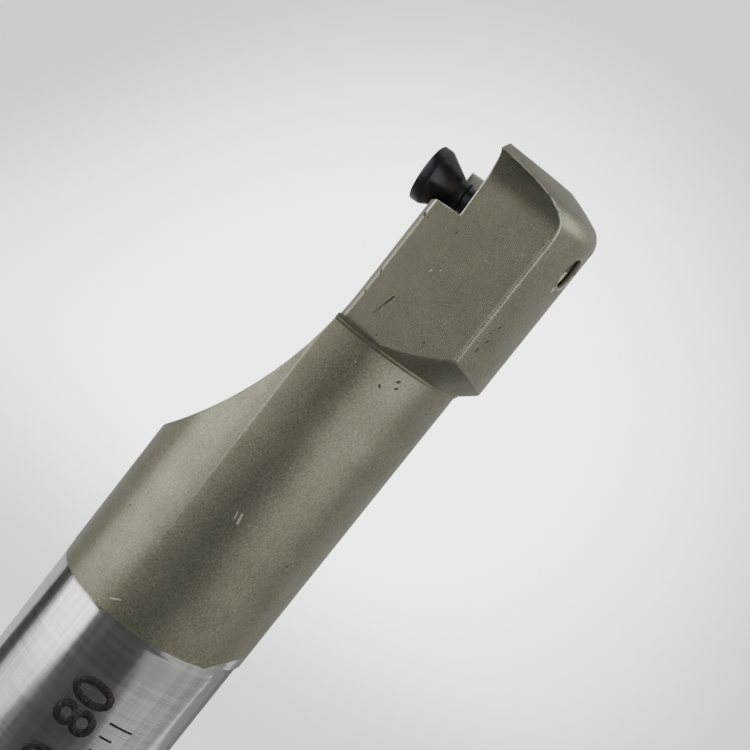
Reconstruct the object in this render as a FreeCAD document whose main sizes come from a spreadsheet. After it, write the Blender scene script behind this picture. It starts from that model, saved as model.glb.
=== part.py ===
import FreeCAD, Part
import math
import os

import Sketcher

doc = FreeCAD.newDocument("threading_boring_bar")
sheet = doc.addObject("Spreadsheet::Sheet", "sizes")

# Driving dimensions in mm and degrees; the origin is the centre of the rear face, +Z runs to the head
SIZES = {
    # Bar as a whole
    "overall_length": 200.0,
    "shank_radius": 12.5,
    "grind_depth": 0.05,
    "ground_from_end": 69.75,
    "wheel_corner_radius": 4.0,
    "flat_depth": 0.8,
    "flat_from_end": 68.5,
    "rear_edge_radius": 1.0,
    # Head, an eccentric disc with a crowned nose and a nearly straight 45 degree shoulder
    "head_length": 26.8,
    "head_radius": 17.0,
    "head_shift_x": -1.9,
    "head_shift_y": -3.2,
    "shoulder_foot_radius": 0.8,
    "shoulder_crown_radius": 80.0,
    "nose_face_radius": 10.9,
    "nose_cone_angle": 19.0,
    "nose_edge_radius": 2.8,
    "nose_crown_radius": 30.0,
    # Relief on the near side, ending in a hollow under the lip that backs the cutting corner
    "relief_depth": 0.15,
    "relief_setback": 0.7,
    "gullet_radius": 4.5,
    "lip_thickness": 1.0,
    # Open side of the neck and head, a hollow sweep that runs into a flat land
    "seat_roll": 4.0,
    "land_offset": 2.05,
    "land_from_end": 22.8,
    "neck_sweep_radius": 44.0,
    "land_edge_chamfer": 0.6,
    # Seat for a three-cornered insert lying flat, with two walls at 60 degrees
    "seat_x": 2.0,
    "seat_y": -5.9,
    "seat_from_end": 7.6,
    "seat_lean": 2.5,
    "insert_inscribed_radius": 4.7625,
    "side_wall_end": 2.7,
    "corner_relief_radius": 0.9,
    "screw_pull": 0.3,
    "screw_hole_radius": 2.0,
    # Clamp screw, standing proud of the seat because no insert is in place
    "screw_rise": 6.95,
    "screw_head_radius": 3.55,
    "screw_rim_height": 1.25,
    "screw_rim_chamfer": 0.15,
    "screw_cone_half_angle": 30.0,
    "screw_foot_radius": 2.0,
    "screw_foot_height": 0.35,
    "screw_collar_radius": 1.8,
    "screw_collar_height": 1.2,
    "screw_neck_radius": 1.55,
    "screw_neck_length": 3.2,
    "thread_clearance": 0.05,
    "thread_length": 7.0,
    "thread_chamfer": 0.4,
    "socket_depth": 1.7,
    "socket_core_radius": 1.2,
    "socket_lobe_radius": 0.45,
    "socket_lobe_centre": 1.225,
}
for row, (name, number) in enumerate(SIZES.items(), 1):
    sheet.set(f"A{row}", name)
    sheet.set(f"B{row}", str(number))
    sheet.setAlias(f"B{row}", name)
doc.recompute()

TOUCHING = 1e-3
PLANE_ROLES = {"XY": "XY_Plane", "XZ": "XZ_Plane", "YZ": "YZ_Plane"}
SHEET_PREFIX = "sizes."


def value(name):
    """Read one driving dimension back from the sheet."""
    return float(sheet.get(name))


def bound(text):
    """Put the sheet's name before each of its aliases in an expression."""
    out = []
    word = ""
    for letter in text + " ":
        if letter.isalnum() or letter == "_":
            word += letter
            continue
        out.append(SHEET_PREFIX + word if word in SIZES else word)
        out.append(letter)
        word = ""
    return "".join(out).strip()


def worked_out(owner, text):
    """Work out an expression's value in the document."""
    result = owner.evalExpression(bound(text))
    return float(getattr(result, "Value", result))


def new_body(name):
    """Start one piece of the assembly."""
    body = doc.addObject("PartDesign::Body", name)
    body.Label = name
    return body


def new_sketch(body, name, plane, shift=("0", "0", "0"), turn=None):
    """Attach a sketch to one of the body's own planes, shifted and turned in that plane's axes."""
    sketch = body.newObject("Sketcher::SketchObject", name)
    role = PLANE_ROLES[plane]
    planes = [item for item in body.Origin.OriginFeatures if item.Role == role]
    sketch.AttachmentSupport = (planes[0], [""])
    sketch.MapMode = "FlatFace"
    sketch.AttachmentOffset = FreeCAD.Placement(FreeCAD.Vector(), turn or FreeCAD.Rotation())
    for axis, text in zip("xyz", shift):
        if text != "0":
            sketch.setExpression(f"AttachmentOffset.Base.{axis}", bound(text))
    return sketch


def fix_point(sketch, index, end, point):
    """Tie one end of a line or arc, or a circle's centre, to two expressions."""
    for kind, text in zip(("DistanceX", "DistanceY"), point):
        spot = worked_out(sketch, text)
        constraint = sketch.addConstraint(Sketcher.Constraint(kind, -1, 1, index, end, spot))
        sketch.setExpression(f"Constraints[{constraint}]", bound(text))


def draw_circle(sketch, centre, radius):
    """Draw a circle whose centre and radius follow the sheet."""
    middle = FreeCAD.Vector(worked_out(sketch, centre[0]), worked_out(sketch, centre[1]), 0)
    circle = Part.Circle(middle, FreeCAD.Vector(0, 0, 1), worked_out(sketch, radius))
    index = sketch.addGeometry(circle, False)
    fix_point(sketch, index, 3, centre)
    rim = sketch.addConstraint(Sketcher.Constraint("Radius", index, worked_out(sketch, radius)))
    sketch.setExpression(f"Constraints[{rim}]", bound(radius))


def arc_through(start, end, radius, side):
    """Make the short arc from start to end, bulging to the left (1) or right (-1) of the chord."""
    chord = end - start
    half = chord.Length / 2
    rise = radius - math.sqrt(max(radius * radius - half * half, 0.0))
    across = FreeCAD.Vector(-chord.y, chord.x, 0).normalize()
    return Part.Arc(start, (start + end) * 0.5 + across * (rise * side), end)


def draw_outline(sketch, points, arcs=None):
    """Draw a closed outline through points; arcs gives (radius, side) for the sides that bend."""
    arcs = arcs or {}
    spots = [FreeCAD.Vector(worked_out(sketch, x), worked_out(sketch, y), 0) for x, y in points]
    sides = []
    for step, start in enumerate(spots):
        end = spots[(step + 1) % len(spots)]
        if step in arcs:
            radius, side = arcs[step]
            sides.append(sketch.addGeometry(arc_through(start, end, worked_out(sketch, radius), side), False))
        else:
            sides.append(sketch.addGeometry(Part.LineSegment(start, end), False))

    def nearest_end(index, spot):
        return min((1, 2), key=lambda end: (sketch.getPoint(index, end) - spot).Length)

    for step, start in enumerate(spots):
        this_end = nearest_end(sides[step], start)
        before = sides[step - 1]
        joined = Sketcher.Constraint("Coincident", sides[step], this_end, before, nearest_end(before, start))
        sketch.addConstraint(joined)
        fix_point(sketch, sides[step], this_end, points[step])
    for step, (radius, _) in arcs.items():
        bend = sketch.addConstraint(Sketcher.Constraint("Radius", sides[step], worked_out(sketch, radius)))
        sketch.setExpression(f"Constraints[{bend}]", bound(radius))


def add_pad(body, name, sketch, length):
    """Add material along the sketch's normal."""
    pad = body.newObject("PartDesign::Pad", name)
    pad.Profile = sketch
    pad.setExpression("Length", bound(length))
    doc.recompute()
    return pad


def must_shrink(body, before, name):
    """Stop if a cut took nothing away."""
    if body.Shape.Volume >= before:
        raise RuntimeError(f"{name} cuts nothing")


def add_pocket(body, name, sketch, kind="ThroughAll", length=None, midplane=False, reverse=False):
    """Cut the sketch's outline away, straight through or to a depth."""
    before = body.Shape.Volume
    pocket = body.newObject("PartDesign::Pocket", name)
    pocket.Profile = sketch
    pocket.Type = kind
    if length:
        pocket.setExpression("Length", bound(length))
    pocket.Midplane = midplane
    pocket.Reversed = reverse
    doc.recompute()
    must_shrink(body, before, name)
    return pocket


def add_turned(body, kind, name, sketch):
    """Turn an outline about the sketch's own upright axis, as a solid or as a cut."""
    turned = body.newObject(kind, name)
    turned.Profile = sketch
    turned.ReferenceAxis = (sketch, ["V_Axis"])
    turned.Angle = 360.0
    doc.recompute()
    return turned


def edge_names(shape, test):
    """Name the edges that pass a test."""
    return [f"Edge{index}" for index, edge in enumerate(shape.Edges, 1) if test(edge)]


def on_land_edge(edge):
    """Tell whether an edge runs upright where the near relief meets the land."""
    near = value("relief_depth") - value("shank_radius")
    low, high = edge.BoundBox.YMin, edge.BoundBox.YMax
    lies_on_relief = math.isclose(low, near, abs_tol=TOUCHING) and math.isclose(high, near, abs_tol=TOUCHING)
    runs_up = edge.BoundBox.ZLength > value("land_from_end") / 2
    return lies_on_relief and runs_up and edge.BoundBox.XMax < 0


# Turns shared by the cuts on the open side
upright = FreeCAD.Vector(0, 1, 0)
land_turn = FreeCAD.Rotation(upright, value("seat_roll"))
seat_turn = land_turn.multiply(FreeCAD.Rotation(FreeCAD.Vector(1, 0, 0), -value("seat_lean")))

# Bar: one steel piece, from the plain rear face to the rounded nose
bar = new_body("bar")

body_radius = "(shank_radius + grind_depth)"
body_circle = new_sketch(bar, "body_circle", "XY")
draw_circle(body_circle, ("0", "0"), body_radius)
add_pad(bar, "round_stock", body_circle, "overall_length")

# Shank: ground down to its fit below the coated part, where the wheel's corner runs out, with a rounded rear edge
ring = "overall_length - ground_from_end"
run_out = "sqrt(2 * wheel_corner_radius * grind_depth - grind_depth^2)"
shank = new_sketch(bar, "shank_outline", "XZ")
draw_outline(
    shank,
    [
        ("shank_radius - rear_edge_radius", "0"),
        ("2 * shank_radius", "0"),
        ("2 * shank_radius", ring),
        (body_radius, ring),
        ("shank_radius", f"{ring} - {run_out}"),
        ("shank_radius", "rear_edge_radius"),
    ],
    {3: ("wheel_corner_radius", -1), 5: ("rear_edge_radius", 1)},
)
volume = bar.Shape.Volume
add_turned(bar, "PartDesign::Groove", "ground_shank", shank)
must_shrink(bar, volume, "ground_shank")

head_low = "overall_length - head_length - shoulder_foot_radius"
head_circle = new_sketch(bar, "head_circle", "XY", ("0", "0", head_low))
draw_circle(head_circle, ("head_shift_x", "head_shift_y"), "head_radius")
add_pad(bar, "head_blank", head_circle, "head_length + shoulder_foot_radius")

# Shoulder: everything outside a slightly crowned 45 degree slope about the bar's own axis is turned away
shoulder_reach = f"head_radius - {body_radius} + abs(head_shift_x) + abs(head_shift_y)"
shoulder_low = "overall_length - head_length - 2 * shoulder_foot_radius"
shoulder = new_sketch(bar, "shoulder_outline", "XZ")
draw_outline(
    shoulder,
    [
        (body_radius, shoulder_low),
        (f"{body_radius} + {shoulder_reach}", shoulder_low),
        (f"{body_radius} + {shoulder_reach}", f"overall_length - head_length + {shoulder_reach}"),
        (
            f"{body_radius} + shoulder_foot_radius * (1 - cos(45))",
            "overall_length - head_length + shoulder_foot_radius * (1 - cos(45))",
        ),
        (body_radius, "overall_length - head_length - shoulder_foot_radius * tan(22.5)"),
    ],
    {2: ("shoulder_crown_radius", 1), 3: ("shoulder_foot_radius", 1)},
)
volume = bar.Shape.Volume
add_turned(bar, "PartDesign::Groove", "shoulder", shoulder)
must_shrink(bar, volume, "shoulder")

# Nose: a flat middle, a shallow crown and a rounded rim, about the head's own axis
nose_drop = "(head_radius - nose_face_radius) * tan(nose_cone_angle)"
nose_tangent = "nose_edge_radius * tan((90 - nose_cone_angle) / 2)"
nose = new_sketch(bar, "nose_outline", "XZ", ("head_shift_x", "0", "-head_shift_y"))
draw_outline(
    nose,
    [
        ("nose_face_radius", "overall_length"),
        (
            f"head_radius - {nose_tangent} * cos(nose_cone_angle)",
            f"overall_length - {nose_drop} + {nose_tangent} * sin(nose_cone_angle)",
        ),
        ("head_radius", f"overall_length - {nose_drop} - {nose_tangent}"),
        ("2 * head_radius", f"overall_length - {nose_drop} - {nose_tangent}"),
        ("2 * head_radius", "overall_length + nose_edge_radius"),
        ("nose_face_radius", "overall_length + nose_edge_radius"),
    ],
    {0: ("nose_crown_radius", 1), 1: ("nose_edge_radius", 1)},
)
volume = bar.Shape.Volume
add_turned(bar, "PartDesign::Groove", "nose", nose)
must_shrink(bar, volume, "nose")

# Near side: a flat that hollows out under the lip
relief_low = "overall_length - head_length + relief_setback"
relief = new_sketch(bar, "relief_outline", "YZ")
draw_outline(
    relief,
    [
        ("relief_depth - shank_radius", relief_low),
        ("relief_depth - shank_radius", "overall_length - lip_thickness - gullet_radius"),
        ("relief_depth - shank_radius - gullet_radius", "overall_length - lip_thickness"),
        ("relief_depth - shank_radius - head_radius", "overall_length - lip_thickness"),
        ("relief_depth - shank_radius - head_radius", relief_low),
    ],
    {1: ("gullet_radius", -1)},
)
add_pocket(bar, "near_relief", relief, midplane=True)

# Open side: the sweep down from the full diameter and the flat land beyond it
sweep_reach = f"{body_radius} + land_offset"
sweep_side = f"neck_sweep_radius - {body_radius}"
sweep_start = f"overall_length - land_from_end - sqrt(neck_sweep_radius^2 - ({sweep_side})^2)"
land = new_sketch(bar, "land_outline", "XZ", turn=land_turn)
draw_outline(
    land,
    [
        (f"-({sweep_reach})", sweep_start),
        ("-land_offset", "overall_length - land_from_end"),
        ("-land_offset", "overall_length + seat_from_end"),
        ("-land_offset - 2 * head_radius", "overall_length + seat_from_end"),
        ("-land_offset - 2 * head_radius", sweep_start),
    ],
    {0: ("neck_sweep_radius", -1)},
)
add_pocket(bar, "open_side", land, midplane=True)

# The sharp edge between the relief and the land is broken
sharp_bar = bar.Tip
volume = bar.Shape.Volume
land_edge = bar.newObject("PartDesign::Chamfer", "land_edge")
land_edge.Base = (sharp_bar, edge_names(sharp_bar.Shape, on_land_edge))
land_edge.setExpression("Size", bound("land_edge_chamfer"))
doc.recompute()
must_shrink(bar, volume, "land_edge")

# Insert seat: floor, side wall and slanted end wall, open towards the lip and the nose
seat_place = ("seat_y", "overall_length - seat_from_end", "seat_x")
corner_drop = "insert_inscribed_radius * sqrt(3)"
seat = new_sketch(bar, "seat_outline", "YZ", seat_place, seat_turn)
draw_outline(
    seat,
    [
        ("insert_inscribed_radius", f"-({corner_drop})"),
        ("insert_inscribed_radius", "side_wall_end"),
        ("2 * head_radius", "side_wall_end"),
        ("2 * head_radius", "2 * seat_from_end"),
        ("insert_inscribed_radius - 2 * head_radius * sin(60)", "2 * seat_from_end"),
        (
            "insert_inscribed_radius - 2 * head_radius * sin(60)",
            f"2 * head_radius * cos(60) - {corner_drop}",
        ),
    ],
)
add_pocket(bar, "insert_seat", seat)

corner = new_sketch(bar, "corner_outline", "YZ", seat_place, seat_turn)
draw_circle(corner, ("insert_inscribed_radius", f"-({corner_drop})"), "corner_relief_radius")
add_pocket(bar, "corner_relief", corner)

screw_hole = new_sketch(bar, "screw_hole_outline", "YZ", seat_place, seat_turn)
draw_circle(screw_hole, ("screw_pull * cos(60)", "-screw_pull * sin(60)"), "screw_hole_radius")
add_pocket(bar, "screw_hole", screw_hole, reverse=True)

# Flats for the holder's screws, on both sides of the shank
flats = new_sketch(bar, "flats_outline", "XY")
draw_outline(
    flats,
    [
        ("shank_radius - flat_depth", "-shank_radius"),
        ("2 * shank_radius", "-shank_radius"),
        ("2 * shank_radius", "shank_radius"),
        ("shank_radius - flat_depth", "shank_radius"),
    ],
)
draw_outline(
    flats,
    [
        ("flat_depth - shank_radius", "-shank_radius"),
        ("-2 * shank_radius", "-shank_radius"),
        ("-2 * shank_radius", "shank_radius"),
        ("flat_depth - shank_radius", "shank_radius"),
    ],
)
add_pocket(bar, "flats", flats, "Length", "overall_length - flat_from_end", reverse=True)

# Clamp screw, turned about its own axis, its zero level on the seat's floor
clamp_screw = new_body("clamp_screw")
cone_height = "(screw_head_radius - screw_foot_radius) / tan(screw_cone_half_angle)"
rim_low = "screw_rise - screw_rim_height"
thread_radius = "screw_hole_radius - thread_clearance"
collar_low = f"{rim_low} - {cone_height} - screw_collar_height"
neck_low = f"{collar_low} - screw_neck_length"
thread_end = f"{neck_low} - thread_length"
profile = new_sketch(clamp_screw, "screw_outline", "XZ")
draw_outline(
    profile,
    [
        ("0", "screw_rise"),
        ("screw_head_radius - screw_rim_chamfer", "screw_rise"),
        ("screw_head_radius", "screw_rise - screw_rim_chamfer"),
        ("screw_head_radius", rim_low),
        ("screw_foot_radius", f"{rim_low} - {cone_height}"),
        ("screw_collar_radius", f"{rim_low} - {cone_height} - screw_foot_height"),
        ("screw_collar_radius", collar_low),
        ("screw_neck_radius", f"{collar_low} - screw_rim_chamfer"),
        ("screw_neck_radius", neck_low),
        (thread_radius, f"{neck_low} - thread_chamfer"),
        (thread_radius, f"{thread_end} + thread_chamfer"),
        (f"{thread_radius} - thread_chamfer", thread_end),
        ("0", thread_end),
    ],
)
add_turned(clamp_screw, "PartDesign::Revolution", "screw_blank", profile)

# Six-lobed socket in the screw's head
core = new_sketch(clamp_screw, "socket_core_outline", "XY", ("0", "0", "screw_rise"))
draw_circle(core, ("0", "0"), "socket_core_radius")
add_pocket(clamp_screw, "socket_core", core, "Length", "socket_depth")
lobe = new_sketch(clamp_screw, "socket_lobe_outline", "XY", ("0", "0", "screw_rise"))
draw_circle(lobe, ("socket_lobe_centre", "0"), "socket_lobe_radius")
lobe_pocket = add_pocket(clamp_screw, "socket_lobe", lobe, "Length", "socket_depth")
lobes = clamp_screw.newObject("PartDesign::PolarPattern", "socket_lobes")
lobes.Originals = [lobe_pocket]
lobes.Axis = (lobe, ["N_Axis"])
lobes.Angle = 360
lobes.Occurrences = 6
clamp_screw.Tip = lobes
doc.recompute()

# The screw stands on the hole's axis, square to the seat's floor
along_x = FreeCAD.Vector(1, 0, 0)
along_z = FreeCAD.Vector(0, 0, 1)
plane_turn = FreeCAD.Rotation(upright, along_z, along_x, "XYZ")
seat_frame = FreeCAD.Placement(
    FreeCAD.Vector(value("seat_x"), value("seat_y"), value("overall_length") - value("seat_from_end")),
    plane_turn.multiply(seat_turn),
)
pull = value("screw_pull")
hole_spot = FreeCAD.Vector(pull * math.cos(math.radians(60)), -pull * math.sin(math.radians(60)), 0)
face_out = FreeCAD.Rotation(FreeCAD.Vector(1, 0, 0), 180)
clamp_screw.Placement = seat_frame.multiply(FreeCAD.Placement(hole_spot, face_out))
doc.recompute()

for item in doc.Objects:
    if "Invalid" in item.State or "Error" in item.State:
        raise RuntimeError(f"{item.Name} failed: {item.State}")

os.makedirs("parts", exist_ok=True)
for piece in (bar, clamp_screw):
    if piece.Shape.isNull() or not piece.Shape.isValid():
        raise RuntimeError(f"{piece.Label} has no valid shape")
    box = piece.Shape.BoundBox
    print(piece.Label, len(piece.Shape.Solids), "solid", round(piece.Shape.Volume, 2), "mm3", box)
    piece.Shape.exportStep(f"parts/{piece.Label}.step")
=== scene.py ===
"""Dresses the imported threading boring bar: mesh detail, finishes, studio and camera."""
import logging
import math
from collections.abc import Iterator
from contextlib import contextmanager
from dataclasses import dataclass
from enum import Enum

import bmesh
import bpy
from mathutils import Matrix, Vector


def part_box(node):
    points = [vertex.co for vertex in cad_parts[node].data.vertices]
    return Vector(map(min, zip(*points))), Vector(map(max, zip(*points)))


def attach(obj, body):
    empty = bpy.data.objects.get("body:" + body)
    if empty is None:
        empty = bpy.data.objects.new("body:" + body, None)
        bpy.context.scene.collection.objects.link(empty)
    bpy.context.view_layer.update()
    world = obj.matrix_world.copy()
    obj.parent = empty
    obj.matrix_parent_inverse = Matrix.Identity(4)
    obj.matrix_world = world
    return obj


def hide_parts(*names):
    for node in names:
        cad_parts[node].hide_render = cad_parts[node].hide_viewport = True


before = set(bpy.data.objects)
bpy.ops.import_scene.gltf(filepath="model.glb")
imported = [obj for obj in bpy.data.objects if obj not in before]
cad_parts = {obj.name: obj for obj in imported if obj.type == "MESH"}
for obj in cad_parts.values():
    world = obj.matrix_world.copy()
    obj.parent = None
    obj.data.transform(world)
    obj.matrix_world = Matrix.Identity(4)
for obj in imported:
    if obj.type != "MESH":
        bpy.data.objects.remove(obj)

MM = 0.001
FULL_TURN = 2 * math.pi
LOG = logging.getLogger("boring_bar")

Colour = tuple[float, float, float, float]
Point = tuple[float, float, float]
Socket = bpy.types.NodeSocket
Tree = bpy.types.NodeTree
Material = bpy.types.Material
BMesh = bmesh.types.BMesh


class MarkKind(Enum):
    """How a single mark on the steel looks."""

    DARK = "dark"
    BRIGHT = "bright"
    PIT = "pit"


class Face(Enum):
    """Which faces of the bar a material is for."""

    BROAD = "bar_steel"
    EDGE = "bar_steel_edges"


class Graph:
    """Adds nodes to one tree and wires them."""

    def __init__(self, tree: Tree) -> None:
        """Start on a tree, emptied of its nodes."""
        self.tree = tree
        tree.nodes.clear()

    def feed(self, socket: Socket, value: object) -> None:
        """Link a socket to an input, or set the input's own value.

        Args:
            socket: The input.
            value: A socket, a plain value, or None to leave the input alone.
        """
        if isinstance(value, Socket):
            self.tree.links.new(value, socket)
        elif value is not None:
            socket.default_value = value

    def node(
        self, kind: str, inputs: dict[object, object] | None = None, **settings: object
    ) -> bpy.types.Node:
        """Add a node.

        Args:
            kind: The node's type.
            inputs: Values or sockets by input name or number.
            settings: The node's own properties.

        Returns:
            The new node.
        """
        node = self.tree.nodes.new(kind)
        for name, value in settings.items():
            setattr(node, name, value)
        for key, value in (inputs or {}).items():
            self.feed(node.inputs[key], value)
        return node

    def math(self, operation: str, *values: object, clamp: bool = False) -> Socket:
        """Add a Math node and return its result."""
        inputs = dict(enumerate(values))
        return self.node("ShaderNodeMath", inputs, operation=operation, use_clamp=clamp).outputs[0]

    def plus(self, first: object, second: object) -> Socket:
        """Add two numbers."""
        return self.math("ADD", first, second)

    def minus(self, first: object, second: object, clamp: bool = False) -> Socket:
        """Take the second number from the first."""
        return self.math("SUBTRACT", first, second, clamp=clamp)

    def times(self, first: object, second: object) -> Socket:
        """Multiply two numbers."""
        return self.math("MULTIPLY", first, second)

    def scale_add(self, value: object, scale: object, offset: object) -> Socket:
        """Multiply a number and add an offset."""
        return self.math("MULTIPLY_ADD", value, scale, offset)

    def vector(self, operation: str, *values: object, output: int = 0) -> Socket:
        """Add a Vector Math node and return one of its results."""
        inputs = dict(enumerate(values))
        return self.node("ShaderNodeVectorMath", inputs, operation=operation).outputs[output]

    def point(self, x: object = None, y: object = None, z: object = None) -> Socket:
        """Join three numbers into a vector."""
        return self.node("ShaderNodeCombineXYZ", {0: x, 1: y, 2: z}).outputs[0]

    def split(self, vector: object) -> bpy.types.NodeOutputs:
        """Take a vector apart into its X, Y and Z."""
        return self.node("ShaderNodeSeparateXYZ", {0: vector}).outputs

    def stretch(self, vector: object, scale: Point) -> Socket:
        """Scale a vector's three numbers, each by its own factor."""
        return self.node("ShaderNodeMapping", {"Vector": vector, "Scale": scale}).outputs[0]

    def step(self, value: object, low: float, high: float) -> Socket:
        """Rise smoothly from 0 at low to 1 at high."""
        inputs = {"Value": value, "From Min": low, "From Max": high}
        return self.node("ShaderNodeMapRange", inputs, interpolation_type="SMOOTHSTEP").outputs[0]

    def mix(self, factor: object, first: object, second: object) -> Socket:
        """Mix two colours."""
        inputs = {0: factor, 6: first, 7: second}
        return self.node("ShaderNodeMix", inputs, data_type="RGBA").outputs[2]

    def blend(self, factor: object, first: object, second: object) -> Socket:
        """Mix two numbers."""
        inputs = {0: factor, 2: first, 3: second}
        return self.node("ShaderNodeMix", inputs, data_type="FLOAT").outputs[0]

    def noise(self, vector: object, scale: object, detail: float = 2.0) -> Socket:
        """Add a Noise texture and return its value."""
        inputs = {"Vector": vector, "Scale": scale, "Detail": detail}
        return self.node("ShaderNodeTexNoise", inputs).outputs[0]

    def group(self, tree: Tree, inputs: dict[object, object]) -> bpy.types.NodeOutputs:
        """Place a shared group with its own values.

        Args:
            tree: The group's tree.
            inputs: Values or sockets by input name.

        Returns:
            The group's results by name.
        """
        node = self.tree.nodes.new("ShaderNodeGroup")
        node.node_tree = tree
        for key, value in inputs.items():
            self.feed(node.inputs[key], value)
        return node.outputs


def sockets(**names: str) -> dict[str, str]:
    """Socket types by name, from each kind's names with commas between them."""
    return {name: f"NodeSocket{kind}" for kind, row in names.items() for name in row.split(", ")}


def new_group(
    name: str, kind: str, inputs: dict[str, str], results: dict[str, str]
) -> tuple[Graph, dict[str, Socket], dict[str, Socket]]:
    """Start a node group with named inputs and outputs.

    Args:
        name: The group's name.
        kind: The tree's type.
        inputs: Input names and their socket types.
        results: Output names and their socket types.

    Returns:
        The graph, its input sockets by name and its output sockets by name.
    """
    tree = bpy.data.node_groups.new(name, kind)
    for title, socket in inputs.items():
        tree.interface.new_socket(name=title, in_out="INPUT", socket_type=socket)
    for title, socket in results.items():
        tree.interface.new_socket(name=title, in_out="OUTPUT", socket_type=socket)
    graph = Graph(tree)
    entry = tree.nodes.new("NodeGroupInput")
    leave = tree.nodes.new("NodeGroupOutput")
    sources = {title: entry.outputs[title] for title in inputs}
    return graph, sources, {title: leave.inputs[title] for title in results}


@dataclass(frozen=True)
class SharedEffects:
    """The shader groups that the finishes share; every length in them is in millimetres."""

    grain: Tree
    specks: Tree
    wear: Tree
    stroke: Tree

    @classmethod
    def build(cls) -> "SharedEffects":
        """Build each group once."""
        return cls(cls.build_grain(), cls.build_specks(), cls.build_wear(), cls.build_stroke())

    @staticmethod
    def build_grain() -> Tree:
        """Make fine grain as a height and slow mottling as a mask.

        Returns:
            The group's tree.
        """
        mottle_scale, mottle_from, mottle_to = 0.045, 0.3, 0.7
        graph, source, result = new_group(
            "fine_grain",
            "ShaderNodeTree",
            sockets(Vector="Vector", Float="Scale, Depth"),
            sockets(Float="Height, Mottle"),
        )
        fine = graph.noise(source["Vector"], source["Scale"], 3.0)
        graph.feed(result["Height"], graph.times(fine, source["Depth"]))
        slow = graph.noise(source["Vector"], graph.times(source["Scale"], mottle_scale), 5.0)
        graph.feed(result["Mottle"], graph.step(slow, mottle_from, mottle_to))
        return graph.tree

    @staticmethod
    def build_specks() -> Tree:
        """Make sparse round specks as a mask.

        Returns:
            The group's tree.
        """
        wobble_scale, wobble_reach = 3.0, 0.25
        smallest, soft_rim = 0.4, 0.5
        graph, source, result = new_group(
            "sparse_specks",
            "ShaderNodeTree",
            sockets(Vector="Vector", Float="Scale, Share, Radius"),
            sockets(Float="Mask"),
        )
        wobble = graph.node(
            "ShaderNodeTexNoise", {"Vector": source["Vector"], "Scale": wobble_scale}
        )
        shift = graph.vector("SCALE", wobble.outputs["Color"], None, None, wobble_reach)
        moved = graph.vector("ADD", source["Vector"], shift)
        cells = graph.node("ShaderNodeTexVoronoi", {"Vector": moved, "Scale": source["Scale"]})
        chance = graph.node("ShaderNodeSeparateColor", {0: cells.outputs["Color"]})
        chosen = graph.math("LESS_THAN", chance.outputs[0], source["Share"])
        size = graph.times(source["Radius"], graph.plus(chance.outputs[1], smallest))
        near = graph.minus(1.0, graph.math("DIVIDE", cells.outputs["Distance"], size), clamp=True)
        graph.feed(result["Mask"], graph.times(graph.step(near, 0.0, soft_rim), chosen))
        return graph.tree

    @staticmethod
    def build_wear() -> Tree:
        """Make patchy rubbing as a mask; Amount 0 is none and 1 is all over.

        Returns:
            The group's tree.
        """
        rise_from, rise_to, middle = 0.42, 0.62, 0.5
        graph, source, result = new_group(
            "patchy_wear",
            "ShaderNodeTree",
            sockets(Vector="Vector", Float="Scale, Amount"),
            sockets(Float="Mask"),
        )
        patches = graph.noise(source["Vector"], source["Scale"], 4.0)
        over = graph.plus(patches, graph.minus(source["Amount"], middle))
        graph.feed(result["Mask"], graph.step(over, rise_from, rise_to))
        return graph.tree

    @staticmethod
    def build_stroke() -> Tree:
        """Make one straight stroke from Start along Run, as a mask with a ragged outline.

        Returns:
            The group's tree.
        """
        ragged_scale, ragged_share, soft_rim = 6.0, 0.7, 0.45
        graph, source, result = new_group(
            "stroke",
            "ShaderNodeTree",
            sockets(Vector="Vector, Start, Run", Float="Width"),
            sockets(Float="Mask"),
        )
        away = graph.vector("SUBTRACT", source["Vector"], source["Start"])
        along = graph.vector("DOT_PRODUCT", away, source["Run"], output=1)
        length = graph.vector("DOT_PRODUCT", source["Run"], source["Run"], output=1)
        share = graph.math("DIVIDE", along, length, clamp=True)
        nearest = graph.vector("SCALE", source["Run"], None, None, share)
        gap = graph.vector("LENGTH", graph.vector("SUBTRACT", away, nearest), output=1)
        noise = graph.noise(source["Vector"], ragged_scale)
        ragged = graph.scale_add(noise, 2 * ragged_share, -ragged_share)
        reach = graph.times(source["Width"], graph.plus(ragged, 1.0))
        inside = graph.minus(1.0, graph.math("DIVIDE", gap, reach), clamp=True)
        graph.feed(result["Mask"], graph.step(inside, 0.0, soft_rim))
        return graph.tree


def new_material(name: str) -> tuple[Material, Graph]:
    """Start a material and its graph.

    Args:
        name: The material's name.

    Returns:
        The material, and the graph of its nodes.
    """
    material = bpy.data.materials.new(name)
    material.use_nodes = True
    return material, Graph(material.node_tree)


def close_material(graph: Graph, inputs: dict[str, object], height: object = None) -> None:
    """End a material in one Principled shader.

    Args:
        graph: The material's graph.
        inputs: Values or sockets for the shader.
        height: Relief in millimetres, if the surface has any.
    """
    shader = graph.node("ShaderNodeBsdfPrincipled", inputs)
    if height is not None:
        bump = graph.node("ShaderNodeBump", {"Strength": 1.0, "Distance": MM, "Height": height})
        graph.feed(shader.inputs["Normal"], bump.outputs[0])
    output = graph.node("ShaderNodeOutputMaterial")
    graph.feed(output.inputs["Surface"], shader.outputs[0])


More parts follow.
